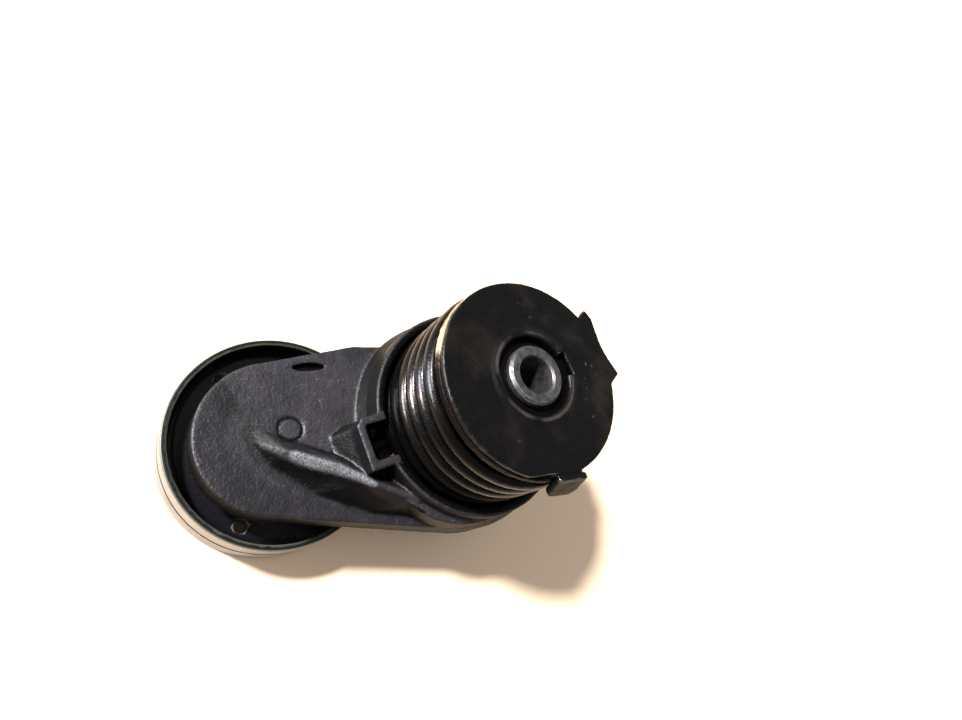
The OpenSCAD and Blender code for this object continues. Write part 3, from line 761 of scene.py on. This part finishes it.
def pulleyFinish(parts):
    tree, c, rimR, half = parts["tree"], rimMarks, pulley["rimR"], pulley["half"]
    radius, xyz, flat = roundAxis(tree, parts["spot"], pulleyAxis)
    lines = turningIn(tree, radius, xyz, flat, *c["turning"], detail=3, rough=0.6)
    split = mathIn(tree, "ABSOLUTE", mathIn(tree, "SUBTRACT", xyz[2], pulley["split"] * mm))
    rim = reachIn(tree, radius, *(rimR - depth for depth in c["rimFrom"]))
    stain = rangeIn(tree, noiseIn(tree, parts["spot"], c["stainSize"], detail=5, rough=0.6), *c["stain"])
    steel = mixIn(tree, rangeIn(tree, lines, *c["streak"]), *c["steel"])
    steel = mixIn(tree, timesIn(tree, stain, c["stainShare"]), steel, c["stainColour"])
    groove = reachIn(tree, split, *c["grooveFrom"])
    shoulder = reachIn(tree, split, *(half - depth for depth in c["shoulderFrom"]))
    breakUp, raggedLow, raggedHigh = c["ragged"]
    ragged = mathIn(tree, "ADD", shoulder, timesIn(tree, parts["lump"], breakUp))
    ragged = rangeIn(tree, ragged, raggedLow, raggedHigh)
    steel = mixIn(tree, ragged, steel, c["raggedColour"])
    steel = mixIn(tree, groove, steel, c["grooveColour"])
    lip = reachIn(tree, split, *(half - depth for depth in c["lipFrom"]))
    band = mathIn(tree, "ADD", radius, timesIn(tree, parts["lump"], c["bandSway"] * mm))
    band = reachIn(tree, band, *(rimR - depth for depth in c["bandFrom"]))
    lip = timesIn(tree, lip, band, rangeIn(tree, parts["cloud"], *c["lipPatch"]))
    parts["colour"] = mixIn(tree, lip, parts["colour"], c["lipColour"])
    parts["colour"] = mixIn(tree, rim, parts["colour"], steel)
    covered = mathIn(tree, "MAXIMUM", groove, ragged)
    bare = timesIn(tree, rim, mathIn(tree, "SUBTRACT", 1.0, covered))
    parts["metal"] = timesIn(tree, bare, c["metal"])
    parts["rough"] = mixValueIn(tree, bare, parts["rough"], c["rough"])
    parts["height"] = mathIn(tree, "ADD", parts["height"], timesIn(tree, lines, rim, c["streakDepth"] * mm))


def halfOutline(collar, fold):
    c = pulley
    rim, high, web, bore = c["rimR"], c["half"], c["wall"], c["boreR"]
    inner = rim - c["wall"]
    path = [(rim - c["groove"], 0), (rim, c["groove"]), (rim, high - c["lipTop"])]
    path += fillet((rim - c["lipR"], high - c["lipR"]), c["lipR"], 0, 90, 3)
    path += fillet((inner + c["innerLipR"], high - c["innerLipR"]), c["innerLipR"], 90, 180, 3)
    path += fillet((inner - c["cornerR"], web + c["cornerR"]), c["cornerR"], 0, -90, 6)
    path += fillet((c["collarR"] + c["footR"], web + c["footR"]), c["footR"], -90, -180, 5)
    if fold:
        path += fillet((c["collarR"] - c["foldR"], collar - c["foldR"]), c["foldR"], 0, 90, 4)
        inward, down = c["foldEdge"]
        path += [(c["foldInR"] + inward, collar), (c["foldInR"], collar - down)]
        path += [(c["foldInR"], collar - c["foldT"]), (bore, collar - c["foldT"])]
    else:
        corner = c["collarEdgeR"]
        path += fillet((c["collarR"] - corner, collar - corner), corner, 0, 90, 3)
        path += [(bore + c["boreEdge"], collar), (bore, collar - c["boreEdge"])]
    return path + [(bore, 0)]


def makePulley():
    skin = finishOf("blackSheetPaint", pulleyFinish, dark=paint(5, 5, 8), light=paint(17, 17, 23), cloud=60,
                    grime=paint(6, 6, 6), grimeScale=140, bare=paint(92, 92, 80), wear=(0.5, 0.95),
                    bareMetal=0.3, rough=(0.26, 0.4), grain=1100, grainDepth=0.015, lump=380, lumpDepth=0.04)
    for node, name, side, collar, fold in pulleyHalves:
        outline = [(r, pulley["split"] + side * h) for r, h in halfOutline(collar, fold)]
        half = turned(name, pulleyAxis, outline, pulley["steps"])
        for turn in pulley["webHoles"]:
            place = pulleyAxis + toward(turn) * pulley["holeRing"] * mm
            cutBy(half, rod(place, pulley["holeR"], pulley["holeDepth"], pulley["holeSides"]))
        mergeDoubles(half)
        bevelled(half, pulley["edge"], angle=pulley["edgeAngle"])
        finished(half, skin, "pulley", node)
        print(name, len(half.data.polygons))


makePulley()


# turned pieces on the two axes: a node's lowest and highest place and its radius
def spanOf(node):
    low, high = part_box(node)
    return low.z / mm, high.z / mm, (high.x - low.x) / 2 / mm


# chamfered corners, given as the way round the section
tube = {
    "boreR": 5.5, "outR": 8.8, "flange": (-6.2, -3.2), "bevel": 0.75, "mouth": 0.5, "footMouth": 0.4,
    # painted shade: the flange and the tube below the plate's face near black, as in the dark gap round the
    # tube
    "corner": 0.3, "edge": 0.18, "steps": 120, "shadeR": (8.9, 9.2), "shadeZ": (-1.2, -3.2),
    "boreFrom": (5.7, 6.2), "oilAndShade": paint(6, 5, 5),
}


# painted shade: near black on the flange and below the plate's face, in the dark gap round the tube; the bore
# stays clean
def tubeFinish(parts):
    tree = parts["tree"]
    radius, xyz, _ = roundAxis(tree, parts["spot"], pivotAxis)
    outside = reachIn(tree, radius, *tube["shadeR"])
    below = reachIn(tree, xyz[2], *tube["shadeZ"])
    gapShade = timesIn(tree, mathIn(tree, "MAXIMUM", outside, below), reachIn(tree, radius, *tube["boreFrom"]))
    oilAndShadeOver(parts, gapShade, tube["oilAndShade"])


def makeTube():
    low, high, flangeR = spanOf("pivot_tube")
    bore, out, corner = tube["boreR"], tube["outR"], tube["corner"]
    under, over = tube["flange"]
    outline = [(bore, low + tube["footMouth"]), (bore + tube["footMouth"], low), (out - corner, low),
               (out, low + corner), (out, under), (flangeR - corner, under), (flangeR, under + corner),
               (flangeR, over - corner), (flangeR - corner, over), (out, over), (out, high - tube["bevel"]),
               (out - tube["bevel"], high), (bore + tube["mouth"], high), (bore, high - tube["mouth"])]
    pipe = turned("pivotTube", pivotAxis, outline, tube["steps"], tube["edge"], segments=3)
    skin = finishOf("wornTubeSteel", tubeFinish, dark=paint(58, 56, 58), light=paint(98, 95, 97), cloud=420,
                    grime=paint(30, 26, 24), grimeScale=240, grimeRange=(0.6, 0.78),
                    bare=paint(200, 198, 198), wear=(0.5, 1.0), metal=0.75, bareMetal=0.9,
                    rough=(0.36, 0.5), grain=1500, grainDepth=0.04, axis=pivotAxis, turningDepth=0.01)
    finished(pipe, skin, "base", "pivot_tube")


makeTube()


# cream ring over the coil, chipped and oily towards the arm's long side
creamRing = {
    "voxel": 0.3, "smooths": 3, "chips": (3.2, 0.4), "most": 60000, "edges": (0.7, 1),
    "oilSway": 14, "oilAndShadeFrom": (12, 2), "oilAndShade": paint(16, 11, 9),
}


def ringFinish(parts):
    tree = parts["tree"]
    xyz = nodeIn(tree, "SeparateXYZ", {0: parts["spot"]}).outputs
    ragged = swayIn(tree, xyz[1], parts["cloud"], creamRing["oilSway"] * mm)
    oilAndShadeOver(parts, reachIn(tree, ragged, *creamRing["oilAndShadeFrom"]), creamRing["oilAndShade"])


def makeRing():
    ring = castFrom("upper_spring_ring", "upperSpringRing", creamRing["voxel"], creamRing["smooths"])
    roughen(ring, "ringChips", *creamRing["chips"])
    keepInside(ring, "upper_spring_ring")
    slim(ring, creamRing["most"])
    markEdges(ring, *creamRing["edges"])
    skin = finishOf("grimyCreamNylon", ringFinish, dark=paint(150, 122, 84), light=paint(214, 196, 150),
                    cloud=170, cloudRange=(0.4, 0.6), grime=paint(52, 38, 28), grimeScale=150,
                    grimeRange=(0.46, 0.58), bare=paint(226, 220, 205), wear=(0.7, 1.2), bareMetal=0.0,
                    rough=(0.35, 0.55), grain=900, grainDepth=0.05, lump=420, lumpDepth=0.12)
    finished(ring, skin, "base", "upper_spring_ring", smooth=60)


makeRing()


# node: piece, body, axis, radius of the hole, corner, material slot
washers = {
    "thrust_washer": ("thrustWasher", "base", pivotAxis, 8.85, 0.2, "bronze_washer"),
    "friction_washer": ("frictionWasher", "base", pivotAxis, 8.85, 0.25, "dark_friction_nylon"),
    "front_retainer": ("frontRetainer", "base", pivotAxis, 8.8, 0.35, "bare_steel"),
    "rear_pivot_bush": ("rearPivotBush", "arm", pivotAxis, 8.85, 0.4, "bush_nylon"),
    "front_pivot_bush": ("frontPivotBush", "arm", pivotAxis, 8.85, 0.4, "bush_nylon"),
    "lower_spring_seat": ("lowerSpringSeat", "arm", pivotAxis, 22.2, 0.4, "cream_nylon"),
    "spacer_sleeve": ("spacerSleeve", "arm", pulleyAxis, 4.0, 0.3, "zinc_steel"),
}
washerSteps, washerEdge = 120, 0.06


def washerOutline(hole, low, high, outer, edge):
    return [(hole, low + edge), (hole + edge, low), (outer - edge, low), (outer, low + edge),
            (outer, high - edge), (outer - edge, high), (hole + edge, high), (hole, high - edge)]


def washerFinishes():
    steel = dict(metal=0.8, bareMetal=0.9, rough=(0.28, 0.42), grainDepth=0.02, grime=paint(40, 34, 30))
    return {
        "bronze_washer": finishOf("bronzeWasher", dark=paint(120, 86, 48), light=paint(168, 128, 78),
                                  metal=0.8, rough=(0.3, 0.45), axis=pivotAxis),
        "dark_friction_nylon": finishOf("darkFrictionNylon", dark=paint(34, 32, 30), light=paint(58, 54, 50),
                                        rough=(0.45, 0.6), bareMetal=0.0, axis=pivotAxis),
        "bare_steel": finishOf("turnedSteel", dark=paint(96, 94, 96), light=paint(150, 148, 150),
                               axis=pivotAxis, **steel),
        "bush_nylon": finishOf("bushNylon", dark=paint(112, 94, 58), light=paint(150, 130, 84),
                               bareMetal=0.0, rough=(0.4, 0.55), axis=pivotAxis),
        # the lower seat is soaked in oil
        "cream_nylon": finishOf("seatNylon", dark=paint(22, 18, 14), light=paint(52, 42, 30), bareMetal=0.0,
                                bare=paint(96, 84, 62), rough=(0.4, 0.55)),
        "zinc_steel": finishOf("zincSteel", dark=paint(120, 120, 116), light=paint(176, 174, 164),
                               axis=pulleyAxis, **steel),
    }


def makeWashers():
    skins = washerFinishes()
    for node, (name, body, axis, hole, corner, slot) in washers.items():
        low, high, outer = spanOf(node)
        outline = washerOutline(hole, low, high, outer, corner)
        piece = turned(name, axis, outline, washerSteps, washerEdge)
        finished(piece, skins[slot], body, node)
    return skins


skins = makeWashers()
print("tube, ring and washers")


# ball bearing with its seals and cage, and the hub's seal; a seal's face is given as radius and depth
bearing = {
    "mid": -66.2, "half": 6.0, "innerR": 8.5, "innerShoulder": 11.85, "outerShoulder": 16.65, "outR": 20.0,
    "chamfer": 0.4, "shoulderEdge": 0.2, "sealSeat": 1, "balls": 8, "ballR": 3.375, "ringR": 14.25,
    "ballFaces": (24, 14), "grooveGap": 0.04, "pocketGap": 0.12, "pocketDepth": 8, "cageHoleR": 12.15,
    "cageOutR": 16.3, "cageEdge": 0.3,
    "sealFace": ((12.0, 0.25), (12.3, 0), (12.9, 0), (13.2, 0.3), (15.6, 0.3), (15.9, 0), (16.9, 0),
                 (17.2, 0.2), (17.55, 0.2), (17.6, 0.4)),
}
hubSeal = {
    "wall": 1.2, "roundR": 1.18, "open": 150, "lip": ((0.75, 0.3), (1.15, 0), (0.75, -0.3)), "smooth": 50,
}


def grooveArc(shoulder, side):
    reach = bearing["ballR"] + bearing["grooveGap"]
    drop = math.degrees(math.acos(abs(bearing["ringR"] - shoulder) / reach))
    start, end = (180 - drop, 180 + drop) if side < 0 else (-drop, drop)
    return fillet((bearing["ringR"], bearing["mid"]), reach, start, end, 10)


def innerOutline(low, high):
    b, bore, shoulder = bearing, bearing["innerR"], bearing["innerShoulder"]
    path = [(bore, low + b["chamfer"]), (bore + b["chamfer"], low), (shoulder - b["shoulderEdge"], low),
            (shoulder, low + b["shoulderEdge"])] + grooveArc(shoulder, -1)[::-1]
    return path + [(shoulder, high - b["shoulderEdge"]), (shoulder - b["shoulderEdge"], high),
                   (bore + b["chamfer"], high), (bore, high - b["chamfer"])]


def outerOutline(low, high):
    b, out, shoulder, seat = bearing, bearing["outR"], bearing["outerShoulder"], bearing["sealSeat"]
    path = [(shoulder + seat, low), (out - b["chamfer"], low), (out, low + b["chamfer"]),
            (out, high - b["chamfer"]), (out - b["chamfer"], high), (shoulder + seat, high),
            (shoulder + seat, high - seat), (shoulder, high - seat)] + grooveArc(shoulder, 1)[::-1]
    return path + [(shoulder, low + seat), (shoulder + seat, low + seat)]


def makeRings(steel):
    low, high = bearing["mid"] - bearing["half"], bearing["mid"] + bearing["half"]
    inner = turned("bearingInnerRing", pulleyAxis, innerOutline(low, high))
    finished(inner, steel, "arm", "bearing_inner_ring")
    outer = turned("bearingOuterRing", pulleyAxis, outerOutline(low, high))
    finished(outer, steel, "pulley", "bearing_outer_ring")


def makeSeals(rubber):
    face = bearing["sealFace"]
    for node, name, front in (("bearing_seal_rear", "bearingSealRear", False),
                              ("bearing_seal_front", "bearingSealFront", True)):
        under, over, _ = spanOf(node)
        outside, back, way = (under, over, 1) if front else (over, under, -1)
        path = [(r, outside + depth * way) for r, depth in face]
        path = [(face[0][0], back)] + path + [(face[-1][0], back)]
        finished(turned(name, pulleyAxis, path), rubber, "pulley", node)


def makeHubSeal(rubber):
    low, high, out = spanOf("hub_seal")
    middle, ringR = (low + high) / 2, out - hubSeal["wall"]
    path = fillet((ringR, middle), hubSeal["roundR"], -hubSeal["open"], hubSeal["open"], 12)
    path += [(ringR - inward, middle + up) for inward, up in hubSeal["lip"]]
    lip = turned("hubSeal", pivotAxis, path)
    finished(lip, rubber, "arm", "hub_seal", smooth=hubSeal["smooth"])


def makeCage(nylon):
    b = bearing
    under, over, _ = spanOf("ball_cage")
    outline = washerOutline(b["cageHoleR"], under, over, b["cageOutR"], b["cageEdge"])
    cage = turned("ballCage", pulleyAxis, outline)
    for i in range(b["balls"]):
        turn = 360 * i / b["balls"]
        place = atHeight(pulleyAxis + toward(turn) * b["ringR"] * mm, b["mid"])
        lying = (0, math.pi / 2, math.radians(turn))
        cutBy(cage, rod(place, b["ballR"] + b["pocketGap"], b["pocketDepth"], rotation=lying))
    finished(cage, nylon, "cage", "ball_cage")


def makeBalls(steel):
    b = bearing
    place = atHeight(pulleyAxis + toward(0) * b["ringR"] * mm, b["mid"])
    bpy.ops.object.select_all(action="DESELECT")
    around, rings = b["ballFaces"]
    bpy.ops.mesh.primitive_uv_sphere_add(segments=around, ring_count=rings, radius=b["ballR"] * mm,
                                         location=place)
    balls = bpy.context.object
    balls.name = balls.data.name = "bearingBalls"
    bpy.ops.object.transform_apply(location=True)
    only(balls)
    bpy.ops.object.mode_set(mode="EDIT")
    bpy.ops.mesh.select_all(action="SELECT")
    for _ in range(b["balls"] - 1):
        bpy.ops.mesh.duplicate()
        bpy.ops.transform.rotate(value=2 * math.pi / b["balls"], orient_axis="Z",
                                 center_override=(pulleyAxis.x, pulleyAxis.y, place.z))
    bpy.ops.object.mode_set(mode="OBJECT")
    finished(balls, steel, "cage", "bearing_balls", smooth=80)


def makeBearing():
    steel = finishOf("bearingSteel", dark=paint(150, 150, 152), light=paint(190, 190, 192), metal=0.9,
                     bareMetal=0.95, rough=(0.16, 0.28), grainDepth=0.01, lumpDepth=0.02, axis=pulleyAxis)
    rubber = finishOf("sealRubber", dark=paint(24, 24, 25), light=paint(42, 41, 42), bareMetal=0.0,
                      bare=paint(60, 58, 56), rough=(0.5, 0.7), axis=pulleyAxis)
    nylon = finishOf("cageNylon", dark=paint(168, 146, 98), light=paint(200, 182, 134), bareMetal=0.0)
    makeRings(steel)
    makeSeals(rubber)
    makeCage(nylon)
    makeBalls(steel)
    makeHubSeal(rubber)


makeBearing()


# bolt; the head's barrel is given as radius and height over the head's face
bolt = {
    "flats": 13, "headT": 2.5, "barrel": ((0, 0), (5.9, 0), (7.45, 0.9)), "barrelTop": (7.5, 0.4),
    "dish": ((0, -1), (3.9, -1), (3.9, 0), (3.4, 0.45), (0, 0.45)), "hexagonPast": 2,
    "flangeR": 8.0, "flangeT": 1.0, "flangeFrom": -0.2,
    "flangeCorner": (0.5, 0.2), "flangeEdge": (0.2, 0.1), "shaftR": 3.98, "thread": 1.25, "threadDepth": 0.6,
    "threadFrom": 10, "threadLeft": 1.2, "tip": 1, "edge": 0.12, "edgeAngle": 40, "steps": 64,
}
shield = {
    "holeR": 4.0, "flatR": 9.2, "dropR": 10.4, "drop": 0.3, "brim": (1.6, 0.6), "rim": 0.05,
    "corner": 0.1, "edge": 0.08,
}


def shankOutline(seat, high):
    c = bolt
    flange, shaft = c["flangeR"], c["shaftR"]
    under, over = seat + c["flangeFrom"], seat + c["flangeT"]
    inward, up = c["flangeCorner"]
    edgeIn, edgeDown = c["flangeEdge"]
    path = [(0, under), (flange - inward, under), (flange, seat + up), (flange, over - edgeDown),
            (flange - edgeIn, over), (shaft, over)]
    z = over + c["threadFrom"]
    while z < high - c["threadLeft"]:
        path += [(shaft, z), (shaft - c["threadDepth"], z + c["thread"] / 2)]
        z += c["thread"]
    return path + [(shaft, high - c["tip"]), (shaft - c["tip"], high), (0, high)]


def makeBolt():
    low, high, _ = spanOf("pulley_bolt")
    seat = low + bolt["headT"]
    topR, over = bolt["barrelTop"]
    barrel = [(r, low + up) for r, up in bolt["barrel"]] + [(topR, seat + over), (0, seat + over)]
    head = turned("pulleyBolt", pulleyAxis, barrel)
    cornerR = bolt["flats"] / 2 / math.cos(math.pi / 6)
    hexagon = rod(atHeight(pulleyAxis, (low + seat) / 2), cornerR, bolt["headT"] + bolt["hexagonPast"], 6)
    cutBy(head, hexagon, "INTERSECT")
    cutBy(head, turned("dish", pulleyAxis, [(r, low + up) for r, up in bolt["dish"]], bolt["steps"]))
    cutBy(head, turned("shank", pulleyAxis, shankOutline(seat, high), bolt["steps"]), "UNION")
    mergeDoubles(head)
    bevelled(head, bolt["edge"], angle=bolt["edgeAngle"])
    finished(head, skins["zinc_steel"], "arm", "pulley_bolt", smooth=40)


def makeShield():
    c = shield
    low, high, out = spanOf("dust_shield")
    brimIn, brimOut = c["brim"]
    outline = [(c["holeR"], low + c["rim"]), (c["flatR"], low + c["rim"]), (c["dropR"], low + c["drop"]),
               (out - brimIn, low + c["drop"]), (out - brimOut, low + c["rim"]), (out, low + c["corner"]),
               (out, high - c["corner"]), (out - c["corner"], high), (c["holeR"], high)]
    cover = turned("dustShield", pulleyAxis, outline, edge=c["edge"])
    finished(cover, skins["zinc_steel"], "arm", "dust_shield")


makeBolt()
makeShield()
print("bearing, bolt and shield")
